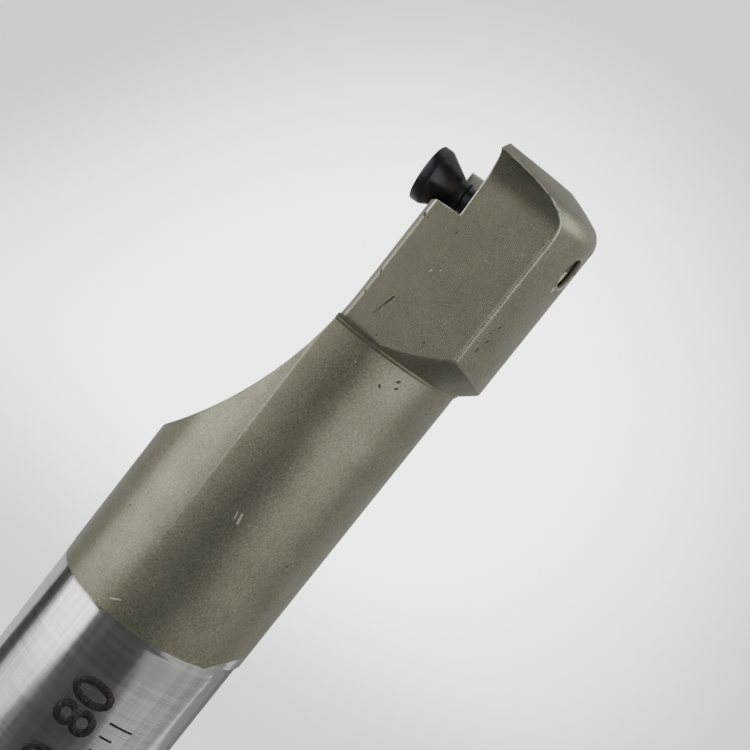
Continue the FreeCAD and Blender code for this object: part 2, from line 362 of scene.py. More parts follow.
@dataclass(frozen=True)
class Surface:
    """A material while it is drawn: its nodes, and the place on the piece in millimetres."""

    material: Material
    graph: Graph
    effects: SharedEffects
    spot: Socket
    axes: bpy.types.NodeOutputs

    @classmethod
    def start(cls, name: str, effects: SharedEffects) -> "Surface":
        """Start a material on object coordinates.

        Args:
            name: The material's name.
            effects: The shared shader groups.

        Returns:
            The surface to draw on.
        """
        material, graph = new_material(name)
        place = graph.node("ShaderNodeTexCoord").outputs["Object"]
        spot = graph.stretch(place, (1 / MM,) * 3)
        return cls(material, graph, effects, spot, graph.split(spot))

    def noise(self, scale: float, detail: float = 2.0) -> Socket:
        """Add a Noise texture in millimetres and return its value."""
        return self.graph.noise(self.spot, scale, detail)

    def is_below(self, axis: str, level: float) -> Socket:
        """Mark where a coordinate is below a level."""
        return self.graph.math("LESS_THAN", self.axes[axis], level)

    def is_between(self, axis: str, low: float, high: float) -> Socket:
        """Mark where a coordinate is between two levels."""
        above = self.graph.math("GREATER_THAN", self.axes[axis], low)
        return self.graph.times(above, self.is_below(axis, high))

    def grained(self, scale: float, depth: float) -> bpy.types.NodeOutputs:
        """Place the grain and return its Height and Mottle."""
        inputs = {"Vector": self.spot, "Scale": scale, "Depth": depth}
        return self.graph.group(self.effects.grain, inputs)

    def specked(self, spread: Point) -> Socket:
        """Place specks of a scale, share and radius, and return their mask."""
        inputs = {"Vector": self.spot, **dict(zip(("Scale", "Share", "Radius"), spread))}
        return self.graph.group(self.effects.specks, inputs)[0]

    def worn(self, scale: float, amount: float) -> Socket:
        """Place the patchy rubbing and return its mask."""
        inputs = {"Vector": self.spot, "Scale": scale, "Amount": amount}
        return self.graph.group(self.effects.wear, inputs)[0]

    def stroked(self, start: Point, run: Point, width: float) -> Socket:
        """Place one stroke and return its mask."""
        inputs = {"Vector": self.spot, "Start": start, "Run": run, "Width": width}
        return self.graph.group(self.effects.stroke, inputs)[0]

    def close(self, inputs: dict[str, object], height: Socket) -> Material:
        """End the material in one Principled shader and return it."""
        close_material(self.graph, inputs, height)
        return self.material


@dataclass(frozen=True)
class Mark:
    """One nick, scratch or pit, in millimetres."""

    kind: MarkKind
    start: Point
    end: Point
    width: float


@dataclass(frozen=True)
class BarSteelFinish:
    """Satin coating over machined steel on the head and neck, and ground steel on the shank."""

    # Colours
    coat_dark: Colour = (0.165, 0.158, 0.116, 1.0)
    coat_light: Colour = (0.300, 0.287, 0.215, 1.0)
    milled: Colour = (0.135, 0.130, 0.095, 1.0)
    bare: Colour = (0.62, 0.59, 0.50, 1.0)
    ground_dark: Colour = (0.54, 0.533, 0.515, 1.0)
    ground_light: Colour = (0.90, 0.89, 0.865, 1.0)
    soot: Colour = (0.012, 0.011, 0.010, 1.0)
    # The hole's colours: oily bare steel in painted shade and painted light along the thread's
    # lines
    bore_shaded_line: Colour = (0.07, 0.062, 0.048, 1.0)
    bore_lit_line: Colour = (0.36, 0.33, 0.27, 1.0)

    # Gloss and metal, the screw's hole and the depth of marks
    coat_roughness: float = 0.40
    coat_metal: float = 0.82
    ground_roughness: float = 0.12
    ground_spread: float = 0.06
    rubbed_roughness: float = 0.42
    bore_roughness: float = 0.5
    bore_radius: float = 2.06
    bore_pitch: float = 0.7
    bore_blur: float = 0.6
    mark_depth: float = 0.06
    pit_strength: float = 0.75

    # The ring where the grinding ends, and the shank's flats
    ring_level: float = 130.51
    ring_skew: float = 0.057
    ring_turn: float = 12.0
    ring_wave: float = 0.16
    ring_wave_scale: float = 0.6
    ring_blur: float = 0.05
    flat_end: float = 131.55
    flat_inset: float = 11.65
    slope_from: float = 10.96
    slope_level: float = 131.28
    slope_rise: float = 1.3

    # The coating, with specks as a scale, a share and a radius
    coat_grain: tuple[float, float] = (5.0, 0.012)
    mottle_share: float = 0.28
    fine_scale: float = 4.6
    fine_share: float = 2.3
    tone_shift: float = -0.79
    light_specks: Point = (1.1, 0.07, 0.13)
    dark_specks: Point = (0.83, 0.10, 0.12)
    light_strength: float = 0.5
    dark_strength: float = 0.6
    speck_depth: float = 0.03

    # Milling lines on the near face
    relief_plane: float = -12.3
    relief_low: float = 173.9
    relief_high: float = 199.02
    weave_pitch: float = 0.205
    weave_drift: float = 2.5
    weave_drift_scale: float = 0.8
    weave_climb: float = 0.8
    weave_lean: float = 0.45
    weave_crossing: float = 0.7
    weave_patch_scale: float = 1.1
    weave_patch_gain: float = 3.2
    weave_patch_shift: float = -0.7
    weave_shade: float = 0.62
    weave_tone: float = 0.30
    weave_depth: float = 0.0035

    # Ground shank, with each noise's stretch and share; its lengthwise streaks are painted
    # reflections
    ring_grain: Point = (0.16, 0.16, 9.0)
    band_grain: Point = (0.05, 0.05, 1.4)
    reflection_streak_stretch: Point = (1.9, 1.9, 0.03)
    ring_share: float = 0.4
    band_share: float = 0.2
    reflection_streak_share: float = 0.4
    ground_from: float = 0.34
    ground_to: float = 0.66
    ring_depth: float = 0.0004

    # Rubbed places: the hatched strip, the land's chamfer and the broken edges
    strip_start: Point = (12.36, -12.35, 175.2)
    strip_run: Point = (0.0, 0.0, 19.0)
    strip_width: float = 0.46
    strip_tick: float = 0.30
    tick_drift: float = 9.0
    tick_drift_scale: float = 2.2
    tick_from: float = -0.4
    tick_to: float = 0.8
    tick_patch_scale: float = 1.6
    broad_tick: float = 0.42
    broad_rub: float = 0.10
    chamfer_start: Point = (-0.97, -11.98, 174.2)
    chamfer_run: Point = (0.0, 0.0, 16.4)
    chamfer_width: float = 0.62
    chamfer_rub: float = 0.22
    chamfer_side: float = 0.2
    chamfer_near: float = -11.5
    edge_wear: tuple[float, float] = (0.9, 0.62)
    edge_patch: float = 0.55
    edge_rub: float = 0.18
    spared_low: float = 172.0
    spared_high: float = 178.0
    spared_keep: float = 0.12

    def marks(self) -> list[Mark]:
        """List the single marks on the bar, where they lie on it.

        Returns:
            The scratches, worn spots and pits, and one pale patch of painted light on the seat's
            far wall.
        """
        dark, bright, pit = MarkKind.DARK, MarkKind.BRIGHT, MarkKind.PIT
        return [
            Mark(dark, (2.46, -12.35, 179.05), (1.75, -12.35, 176.2), 0.07),
            Mark(dark, (2.44, -12.35, 178.9), (2.17, -12.35, 177.8), 0.13),
            Mark(bright, (4.32, -11.78, 147.9), (4.12, -11.86, 149.1), 0.17),
            Mark(bright, (3.72, -11.98, 148.2), (3.60, -12.01, 149.0), 0.12),
            Mark(pit, (13.49, -10.41, 183.43), (13.52, -10.36, 183.6), 0.17),
            Mark(pit, (13.17, -11.07, 182.4), (13.2, -11.02, 182.55), 0.13),
            Mark(pit, (13.41, -10.59, 181.3), (13.45, -10.5, 181.6), 0.15),
            Mark(pit, (13.18, -11.05, 179.9), (13.22, -10.98, 180.3), 0.17),
            Mark(pit, (8.11, -9.58, 171.57), (8.3, -9.41, 171.7), 0.19),
            Mark(pit, (8.55, -9.19, 170.95), (8.4, -9.32, 170.8), 0.16),
            Mark(pit, (6.92, -10.47, 170.1), (7.1, -10.35, 170.0), 0.17),
            Mark(bright, (-0.71, -12.53, 132.4), (-1.81, -12.42, 131.75), 0.10),
            Mark(bright, (3.83, -12.35, 183.7), (3.93, -12.35, 183.9), 0.08),
            Mark(bright, (4.72, -12.35, 184.4), (4.75, -12.35, 184.5), 0.07),
            Mark(bright, (14.78, -6.35, 190.35), (14.80, -6.20, 190.2), 0.35),
            # Painted light with some wear: the seat's far wall behind the screw, made pale where
            # light falls on it
            Mark(bright, (-0.45, -1.34, 192.6), (-0.75, -1.34, 195.4), 1.35),
            Mark(dark, (-0.66, -12.28, 180.5), (-0.42, -12.34, 180.15), 0.10),
            Mark(dark, (-0.74, -12.22, 188.35), (-0.47, -12.33, 188.05), 0.15),
            Mark(dark, (-0.60, -12.31, 177.6), (-0.48, -12.33, 177.35), 0.09),
            Mark(bright, (-0.62, -12.29, 188.5), (-0.59, -12.31, 190.1), 0.12),
        ]

    def build(self, face: Face, effects: SharedEffects) -> Material:
        """Build the finish.

        Args:
            face: Broad faces, or the narrow broken edges with more wear.
            effects: The shared shader groups.

        Returns:
            The material.
        """
        surface = Surface.start(face.value, effects)
        graph = surface.graph
        coated = self.coated_mask(surface)
        coat_colour, coat_height = self.coating(surface)
        ground_colour, ground_height, ground_tone = self.ground(surface)
        colour = graph.mix(coated, ground_colour, coat_colour)
        height = graph.blend(coated, ground_height, coat_height)
        rubbed = graph.times(self.rubbed_mask(surface, face), coated)
        colour = graph.mix(rubbed, colour, self.bare)
        marks = self.mark_masks(surface)
        # Bright marks: worn nicks and spots, and on the seat's far wall a patch of painted light
        colour = graph.mix(marks[MarkKind.BRIGHT], colour, self.bare)
        hollow = graph.times(marks[MarkKind.PIT], self.pit_strength)
        colour = graph.mix(graph.math("MAXIMUM", marks[MarkKind.DARK], hollow), colour, self.soot)
        sunk = graph.times(graph.plus(marks[MarkKind.PIT], marks[MarkKind.DARK]), self.mark_depth)
        rough = graph.scale_add(ground_tone, self.ground_spread, self.ground_roughness)
        rough = graph.blend(coated, rough, self.coat_roughness)
        rough = graph.blend(rubbed, rough, self.rubbed_roughness)
        bored = self.bore_mask(surface)
        # Painted light in the hole: bare steel made lighter, with lit and shaded thread lines
        # painted in
        colour = graph.mix(bored, colour, self.bore_steel_with_painted_light(surface))
        rough = graph.blend(bored, rough, self.bore_roughness)
        metal = graph.blend(coated, 1.0, self.coat_metal)
        metal = graph.times(metal, graph.minus(1.0, marks[MarkKind.DARK]))
        inputs = {"Base Color": colour, "Roughness": rough, "Metallic": metal}
        return surface.close(inputs, graph.minus(height, sunk))

    def coated_mask(self, surface: Surface) -> Socket:
        """Mark the coated part: beyond the ring where the grinding runs out, off the shank's flats.

        Args:
            surface: The surface to draw on.

        Returns:
            A mask, 1 on the coating.
        """
        graph, axes = surface.graph, surface.axes
        turn = math.radians(self.ring_turn)
        aside = (math.cos(turn), math.sin(turn), 0.0)
        across = graph.vector("DOT_PRODUCT", surface.spot, aside, output=1)
        middle = self.ring_level - self.ring_wave / 2
        wavy = graph.scale_add(surface.noise(self.ring_wave_scale), self.ring_wave, middle)
        level = graph.plus(graph.times(across, self.ring_skew), wavy)
        over = graph.minus(axes["X"], self.slope_from)
        slope = graph.scale_add(over, self.slope_rise, self.slope_level)
        level = graph.math("MAXIMUM", level, slope)
        above = graph.step(graph.minus(axes["Z"], level), -self.ring_blur, self.ring_blur)
        beyond = graph.math("GREATER_THAN", graph.math("ABSOLUTE", axes["X"]), self.flat_inset)
        on_flat = graph.times(beyond, surface.is_below("Z", self.flat_end))
        return graph.times(above, graph.minus(1.0, on_flat))

    def bore_mask(self, surface: Surface) -> Socket:
        """Mark the inside of the screw's hole, where the steel is bare and lightened with painted
        light.

        Args:
            surface: The surface to draw on.

        Returns:
            A mask, 1 in the hole.
        """
        graph = surface.graph
        place = SeatFrame().matrix()
        axis = tuple(place.to_3x3() @ Vector((0.0, 0.0, 1.0)))
        away = graph.vector("SUBTRACT", surface.spot, tuple(place.translation / MM))
        gap = graph.vector("LENGTH", graph.vector("CROSS_PRODUCT", away, axis), output=1)
        return graph.math("LESS_THAN", gap, self.bore_radius)

    def bore_steel_with_painted_light(self, surface: Surface) -> Socket:
        """Colour the hole: oily bare steel, lightened with painted light, with the thread's lines
        as painted light and shade.

        Args:
            surface: The surface to draw on.

        Returns:
            The colour.
        """
        graph = surface.graph
        lines = graph.math("SINE", graph.times(surface.axes["X"], FULL_TURN / self.bore_pitch))
        tone = graph.step(lines, -self.bore_blur, self.bore_blur)
        return graph.mix(tone, self.bore_shaded_line, self.bore_lit_line)

    def relief_mask(self, surface: Surface) -> Socket:
        """Mark the milled near face and its hollow under the lip."""
        level = surface.is_between("Z", self.relief_low, self.relief_high)
        return surface.graph.times(surface.is_below("Y", self.relief_plane), level)

    def weave(self, surface: Surface) -> Socket:
        """Draw two crossing sets of milling lines, stronger in some places than in others.

        Args:
            surface: The surface to draw on.

        Returns:
            The lines' strength, which swings either side of 0.
        """
        graph, axes = surface.graph, surface.axes
        turns = FULL_TURN / self.weave_pitch
        drift = graph.times(surface.noise(self.weave_drift_scale), self.weave_drift)
        lines = graph.math("SINE", graph.scale_add(axes["X"], turns, drift))
        lean = graph.times(axes["X"], turns * self.weave_lean)
        slant = graph.scale_add(axes["Z"], turns * self.weave_climb, lean)
        crossing = graph.math("SINE", graph.plus(slant, drift))
        patches = surface.noise(self.weave_patch_scale, 4.0)
        strength = graph.scale_add(patches, self.weave_patch_gain, self.weave_patch_shift)
        return graph.times(graph.scale_add(crossing, self.weave_crossing, lines), strength)

    def coating(self, surface: Surface) -> tuple[Socket, Socket]:
        """Draw the coating, with milling lines on the near face.

        Args:
            surface: The surface to draw on.

        Returns:
            The colour and the height.
        """
        graph = surface.graph
        relief = self.relief_mask(surface)
        grain = surface.grained(*self.coat_grain)
        fine = surface.noise(self.fine_scale, 4.0)
        tone = graph.scale_add(fine, self.fine_share, self.tone_shift)
        tone = graph.scale_add(grain["Mottle"], self.mottle_share, tone)
        colour = graph.mix(tone, self.coat_dark, self.coat_light)
        weave = self.weave(surface)
        shade = graph.times(graph.scale_add(weave, self.weave_shade, self.weave_tone), relief)
        colour = graph.mix(shade, colour, self.milled)
        light = surface.specked(self.light_specks)
        dark = surface.specked(self.dark_specks)
        colour = graph.mix(graph.times(light, self.light_strength), colour, self.bare)
        colour = graph.mix(graph.times(dark, self.dark_strength), colour, self.soot)
        ripple = graph.times(graph.times(weave, relief), self.weave_depth)
        height = graph.plus(grain["Height"], ripple)
        return colour, graph.minus(height, graph.times(dark, self.speck_depth))

    def ground(self, surface: Surface) -> tuple[Socket, Socket, Socket]:
        """Draw the ground shank, with its fine rings and broader bands, and lengthwise streaks of
        painted reflection.

        Args:
            surface: The surface to draw on.

        Returns:
            The colour, the height and the tone.
        """
        graph, spot = surface.graph, surface.spot
        rings = graph.noise(graph.stretch(spot, self.ring_grain), 1.0, 5.0)
        bands = graph.noise(graph.stretch(spot, self.band_grain), 1.0, 3.0)
        # Painted reflection: lengthwise streaks that vary round the shank
        streaks = graph.noise(graph.stretch(spot, self.reflection_streak_stretch), 1.0, 4.0)
        tone = graph.scale_add(rings, self.ring_share, graph.times(bands, self.band_share))
        tone = graph.scale_add(streaks, self.reflection_streak_share, tone)
        light = graph.step(tone, self.ground_from, self.ground_to)
        colour = graph.mix(light, self.ground_dark, self.ground_light)
        return colour, graph.times(rings, self.ring_depth), tone

    def rubbed_mask(self, surface: Surface, face: Face) -> Socket:
        """Mark where the coating is rubbed through.

        The broken edges are rubbed in patches. A strip along the near face's edge is hatched, and
        the land's chamfer is a little lighter than the faces beside it.

        Args:
            surface: The surface to draw on.
            face: Broad faces, or the narrow broken edges.

        Returns:
            A mask, 1 where the steel is bare.
        """
        graph = surface.graph
        strip = surface.stroked(self.strip_start, self.strip_run, self.strip_width)
        drift = graph.times(surface.noise(self.tick_drift_scale), self.tick_drift)
        phase = graph.scale_add(surface.axes["Z"], FULL_TURN / self.strip_tick, drift)
        ticks = graph.step(graph.math("SINE", phase), self.tick_from, self.tick_to)
        hatch = graph.times(ticks, surface.noise(self.tick_patch_scale, 3.0))
        if face is Face.BROAD:
            chamfer = surface.stroked(self.chamfer_start, self.chamfer_run, self.chamfer_width)
            ticked = graph.times(strip, graph.scale_add(hatch, self.broad_tick, self.broad_rub))
            return graph.math("MAXIMUM", ticked, graph.times(chamfer, self.chamfer_rub))
        worn = graph.scale_add(surface.worn(*self.edge_wear), self.edge_patch, self.edge_rub)
        return graph.blend(strip, graph.times(worn, self.spared_share(surface)), hatch)

    def spared_share(self, surface: Surface) -> Socket:
        """Spare the broken edges round the shoulder and along the land's chamfer.

        Args:
            surface: The surface to draw on.

        Returns:
            The share of the wear that is left, 1 elsewhere.
        """
        graph = surface.graph
        shoulder = surface.is_between("Z", self.spared_low, self.spared_high)
        aside = surface.is_below("X", self.chamfer_side)
        chamfer = graph.times(aside, surface.is_below("Y", self.chamfer_near))
        spared = graph.math("MAXIMUM", shoulder, chamfer)
        return graph.scale_add(spared, self.spared_keep - 1.0, 1.0)

    def mark_masks(self, surface: Surface) -> dict[MarkKind, Socket]:
        """Draw every single mark.

        Args:
            surface: The surface to draw on.

        Returns:
            One mask for each kind of mark.
        """
        masks: dict[MarkKind, Socket] = {}
        for mark in self.marks():
            run = tuple(Vector(mark.end) - Vector(mark.start))
            mask = surface.stroked(mark.start, run, mark.width)
            if mark.kind in masks:
                mask = surface.graph.math("MAXIMUM", masks[mark.kind], mask)
            masks[mark.kind] = mask
        return masks


@dataclass(frozen=True)
class BlackOxideFinish:
    """Black oxide on the clamp screw, lightly oiled."""

    black: Colour = (0.032, 0.032, 0.036, 1.0)
    grey: Colour = (0.090, 0.090, 0.097, 1.0)
    grain: tuple[float, float] = (7.0, 0.006)
    wear: tuple[float, float] = (1.6, 0.38)
    wear_share: float = 0.5
    metal: float = 0.75
    roughness: float = 0.27
    roughness_spread: float = 0.10

    def build(self, effects: SharedEffects) -> Material:
        """Build the finish.

        Args:
            effects: The shared shader groups.

        Returns:
            The material.
        """
        surface = Surface.start("screw_steel", effects)
        graph = surface.graph
        grain = surface.grained(*self.grain)
        mottle = graph.times(grain["Mottle"], 1.0 - self.wear_share)
        tone = graph.scale_add(surface.worn(*self.wear), self.wear_share, mottle)
        colour = graph.mix(tone, self.black, self.grey)
        rough = graph.scale_add(tone, self.roughness_spread, self.roughness)
        inputs = {"Base Color": colour, "Roughness": rough, "Metallic": self.metal}
        return surface.close(inputs, grain["Height"])


@dataclass(frozen=True)
class TappedSteelFinish:
    """Bare cut steel in the tapped hole, dull with oil."""

    dark: Colour = (0.30, 0.28, 0.23, 1.0)
    light: Colour = (0.72, 0.68, 0.58, 1.0)
    grain: tuple[float, float] = (9.0, 0.008)
    metal: float = 0.9
    roughness: float = 0.38

    def build(self, effects: SharedEffects) -> Material:
        """Build the finish.

        Args:
            effects: The shared shader groups.

        Returns:
            The material.
        """
        surface = Surface.start("tapped_steel", effects)
        grain = surface.grained(*self.grain)
        colour = surface.graph.mix(grain["Mottle"], self.dark, self.light)
        inputs = {"Base Color": colour, "Roughness": self.roughness, "Metallic": self.metal}
        return surface.close(inputs, grain["Height"])


@dataclass(frozen=True)
class BurntMarkFinish:
    """Brown laser-burnt steel of the graduation."""

    deep: Colour = (0.014, 0.012, 0.010, 1.0)
    pale: Colour = (0.050, 0.040, 0.033, 1.0)
    grain: tuple[float, float] = (12.0, 0.010)
    wear: tuple[float, float] = (4.0, 0.45)
    metal: float = 0.35
    roughness: float = 0.62

    def build(self, effects: SharedEffects) -> Material:
        """Build the finish.

        Args:
            effects: The shared shader groups.

        Returns:
            The material.
        """
        surface = Surface.start("burnt_mark", effects)
        colour = surface.graph.mix(surface.worn(*self.wear), self.deep, self.pale)
        inputs = {"Base Color": colour, "Roughness": self.roughness, "Metallic": self.metal}
        return surface.close(inputs, surface.grained(*self.grain)["Height"])


@dataclass(frozen=True)
class PaperFinish:
    """Pale seamless paper of the stage, which glows with painted light, brighter beyond the bar as
    if lit through from behind.
    """

    tone: Colour = (0.80, 0.80, 0.80, 1.0)
    shade: Colour = (0.785, 0.785, 0.785, 1.0)
    front_glow: Colour = (0.03, 0.03, 0.03, 1.0)
    back_glow: Colour = (0.28, 0.28, 0.28, 1.0)
    # Painted pool of light where the camera sees the paper: brightest round one centre, fading
    # outwards
    painted_pool_middle: Colour = (3.60, 3.60, 3.60, 1.0)
    painted_pool_edge: Colour = (0.98, 0.98, 0.98, 1.0)
    fibre_scale: float = 60.0
    fibre_from: float = 0.2
    fibre_to: float = 0.8
    roughness: float = 0.9
    glow_from: float = -0.05
    glow_full: float = 0.30
    squeeze: Point = (1.0, 0.6, 1.0)
    painted_pool_centre: Point = (-0.17, 0.48, 0.06)
    fall_from: float = 0.10
    fall_full: float = 0.30

    def build(self) -> Material:
        """Build the finish, whose painted glow is brighter where the camera sees the paper itself,
        most in a pool round one centre.

        Returns:
            The material.
        """
        material, graph = new_material("paper")
        place = graph.node("ShaderNodeTexCoord").outputs["Object"]
        fibre = graph.noise(place, self.fibre_scale, 4.0)
        fibre = graph.step(fibre, self.fibre_from, self.fibre_to)
        colour = graph.mix(fibre, self.shade, self.tone)
        behind = graph.step(graph.split(place)["Y"], self.glow_from, self.glow_full)
        squeezed = graph.stretch(place, self.squeeze)
        # Painted light: a pool of glow round one centre, and a glow brighter beyond the bar
        away = graph.vector("DISTANCE", squeezed, self.painted_pool_centre, output=1)
        fall = graph.step(away, self.fall_from, self.fall_full)
        seen = graph.mix(fall, self.painted_pool_middle, self.painted_pool_edge)
        given = graph.mix(behind, self.front_glow, self.back_glow)
        is_seen = graph.node("ShaderNodeLightPath").outputs["Is Camera Ray"]
        inputs = {
            "Base Color": colour,
            "Roughness": self.roughness,
            "Emission Color": graph.mix(is_seen, given, seen),
            "Emission Strength": 1.0,
        }
        close_material(graph, inputs)
        return material


def link_object(name: str, mesh: bpy.types.Mesh) -> bpy.types.Object:
    """Put a mesh in the scene as an object at the origin.

    Args:
        name: The object's name.
        mesh: Its mesh.

    Returns:
        The object.
    """
    thing = bpy.data.objects.new(name, mesh)
    bpy.context.scene.collection.objects.link(thing)
    return thing


@contextmanager
def editing(mesh: bpy.types.Mesh) -> Iterator[BMesh]:
    """Open a mesh for editing, and write it back afterwards.

    Args:
        mesh: The mesh.

    Yields:
        Its editable copy.
    """
    work = bmesh.new()
    work.from_mesh(mesh)
    yield work
    work.to_mesh(mesh)
    work.free()


def settle(thing: bpy.types.Object) -> None:
    """Turn an object's modifiers into plain mesh.

    Args:
        thing: The object.
    """
    graph = bpy.context.evaluated_depsgraph_get()
    mesh = bpy.data.meshes.new_from_object(thing.evaluated_get(graph), depsgraph=graph)
    thing.modifiers.clear()
    thing.data = mesh
    mesh.name = thing.name


def grow(name: str, tree: Tree, values: dict[str, object]) -> bpy.types.Object:
    """Run a Geometry Nodes tree into a plain mesh.

    Args:
        name: The new object's name.
        tree: The tree.
        values: The tree's inputs by name.

    Returns:
        The object, with its modifier gone.
    """
    thing = link_object(name, bpy.data.meshes.new(name))
    modifier = thing.modifiers.new(name, "NODES")
    modifier.node_group = tree
    for item in tree.interface.items_tree:
        if item.in_out == "INPUT" and item.name in values:
            modifier[item.identifier] = values[item.name]
    settle(thing)
    return thing


def end_tree(
    graph: Graph, source: dict[str, Socket], result: dict[str, Socket], shape: Socket
) -> None:
    """Realize a tree's shape, give it its material and put it out.

    Args:
        graph: The tree's graph.
        source: The tree's inputs, with a Material.
        result: The tree's results, with a Geometry.
        shape: The shape.
    """
    real = graph.node("GeometryNodeRealizeInstances", {0: shape}).outputs[0]
    inputs = {"Geometry": real, "Material": source["Material"]}
    graph.feed(result["Geometry"], graph.node("GeometryNodeSetMaterial", inputs).outputs[0])


def shade_smooth(mesh: bpy.types.Mesh, angle: float) -> None:
    """Shade a mesh smooth, with sharp edges above an angle in degrees."""
    mesh.shade_smooth()
    mesh.set_sharp_from_angle(angle=math.radians(angle))


@dataclass
class BarBody:
    """The bar itself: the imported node's shape with its edges broken; areas are in mm2."""

    effects: SharedEffects
    finish: BarSteelFinish = BarSteelFinish()
    node: str = "bar"
    name: str = "bar_body"
    edge_break: float = 0.17
    sharp_above: float = 24.0
    weld: float = 0.002
    flat_within: float = 0.4
    flat_beside: float = 6.0
    sliver: float = 0.012
    short: float = 0.21
    foot_level: float = 172.97
    foot_reach: float = 0.2
    step_level: float = 130.25
    step_reach: float = 1.5

    def build(self) -> bpy.types.Object:
        """Build the bar and let it stand for its node.

        Returns:
            The bar.
        """
        mesh = self.merged_copy()
        thing = link_object(self.name, mesh)
        for face in Face:
            mesh.materials.append(self.finish.build(face, self.effects))
        bevel = thing.modifiers.new("edge_break", "BEVEL")
        bevel.width = self.edge_break * MM
        bevel.segments = 2
        bevel.limit_method = "WEIGHT"
        bevel.use_clamp_overlap = False
        bevel.material = list(Face).index(Face.EDGE)
        settle(thing)
        self.keep_faces_flat(thing.data)
        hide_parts(self.node)
        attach(thing, "root")
        return thing

    def merged_copy(self) -> bpy.types.Mesh:
        """Merge a copy of the node's loose triangles and weigh the edges that get broken.

        Returns:
            The copy.
        """
        work = bmesh.new()
        work.from_mesh(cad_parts[self.node].data)
        bmesh.ops.remove_doubles(work, verts=work.verts, dist=self.weld * MM)
        flat = math.radians(self.flat_within)
        bmesh.ops.dissolve_limit(work, angle_limit=flat, verts=work.verts, edges=work.edges)
        slim = [edge for edge in work.edges if self.is_slim(edge)]
        bmesh.ops.dissolve_degenerate(work, dist=self.short * MM, edges=slim)
        weights = work.edges.layers.float.new("bevel_weight_edge")
        for edge in work.edges:
            edge[weights] = 1.0 if self.is_broken(edge) else 0.0
        mesh = bpy.data.meshes.new(self.name)
        work.to_mesh(mesh)
        work.free()
        shade_smooth(mesh, self.sharp_above)
        return mesh

    def keep_faces_flat(self, mesh: bpy.types.Mesh) -> None:
        """Stop the broken edges from bending the light on the faces beside them.

        Args:
            mesh: The bar's mesh.
        """
        with editing(mesh) as work:
            for edge in work.edges:
                kinds = {face.material_index for face in edge.link_faces}
                limit = self.sharp_above if len(kinds) == 1 else self.flat_beside
                edge.smooth = math.degrees(edge.calc_face_angle(0.0)) < limit

    def is_sliver_beside(self, edge: bmesh.types.BMEdge) -> bool:
        """Tell whether one of an edge's faces is a sliver."""
        return min(face.calc_area() for face in edge.link_faces) < self.sliver * MM * MM

    def is_near(self, edge: bmesh.types.BMEdge, level: float, reach: float) -> bool:
        """Tell whether an edge's middle lies within a reach of a level along the bar."""
        middle = sum(vert.co.z for vert in edge.verts) / (2 * MM)
        return abs(middle - level) < reach

    def is_slim(self, edge: bmesh.types.BMEdge) -> bool:
        """Tell whether an edge bounds a sliver where the shoulder's foot runs into the neck.

        Args:
            edge: The edge.

        Returns:
            True if it does.
        """
        at_foot = self.is_near(edge, self.foot_level, self.foot_reach)
        return at_foot and bool(edge.link_faces) and self.is_sliver_beside(edge)

    def is_broken(self, edge: bmesh.types.BMEdge) -> bool:
        """Tell whether an edge gets broken: a sharp one, not a sliver's or the shank's step.

        Args:
            edge: The edge.

        Returns:
            True if it gets broken.
        """
        if self.is_sliver_beside(edge) or len(edge.link_faces) != 2 or not edge.is_convex:
            return False
        if self.is_near(edge, self.step_level, self.step_reach):
            return False
        return math.degrees(edge.calc_face_angle(0.0)) > self.sharp_above


@dataclass(frozen=True)
class SeatFrame:
    """Where the screw stands: the seat's floor, its lean and roll, and the hole's place on it."""

    x: float = 2.0
    y: float = -5.9
    from_end: float = 7.6
    roll: float = 4.0
    lean: float = 2.5
    pull: float = 0.3
    pull_turn: float = 60.0

    def matrix(self) -> Matrix:
        """Work out the screw's own frame.

        Returns:
            The frame, in metres: its origin on the floor, +Z out of the hole.
        """
        _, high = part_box("bar")
        to_bar = Matrix(((0.0, 0.0, 1.0), (1.0, 0.0, 0.0), (0.0, 1.0, 0.0)))
        roll = Matrix.Rotation(math.radians(self.roll), 3, "Y")
        axes = to_bar @ (roll @ Matrix.Rotation(-math.radians(self.lean), 3, "X"))
        turn = math.radians(self.pull_turn)
        hole = Vector((self.pull * math.cos(turn), -self.pull * math.sin(turn), 0.0))
        foot = Vector((self.x * MM, self.y * MM, high.z - self.from_end * MM)) + axes @ hole * MM
        face_out = Matrix.Rotation(math.pi, 3, "X")
        return Matrix.Translation(foot) @ (axes @ face_out).to_4x4()


@dataclass(frozen=True)
class ThreadForm:
    """A right-hand M4 coarse thread, in millimetres."""

    pitch: float = 0.7
    crest: float = 1.95
    root: float = 1.6
    bore_root: float = 2.03
    bore_crest: float = 1.67
    crest_share: float = 0.07
    flank_share: float = 0.35

    def radius(self, height: float, angle: float) -> float:
        """Work out the screw's radius at a place on its thread.

        Args:
            height: The height.
            angle: The angle in radians.

        Returns:
            The radius.
        """
        phase = (height / self.pitch - angle / FULL_TURN) % 1.0
        away = min(phase, 1.0 - phase)
        fall = min(max((away - self.crest_share) / self.flank_share, 0.0), 1.0)
        return self.crest + (self.root - self.crest) * fall


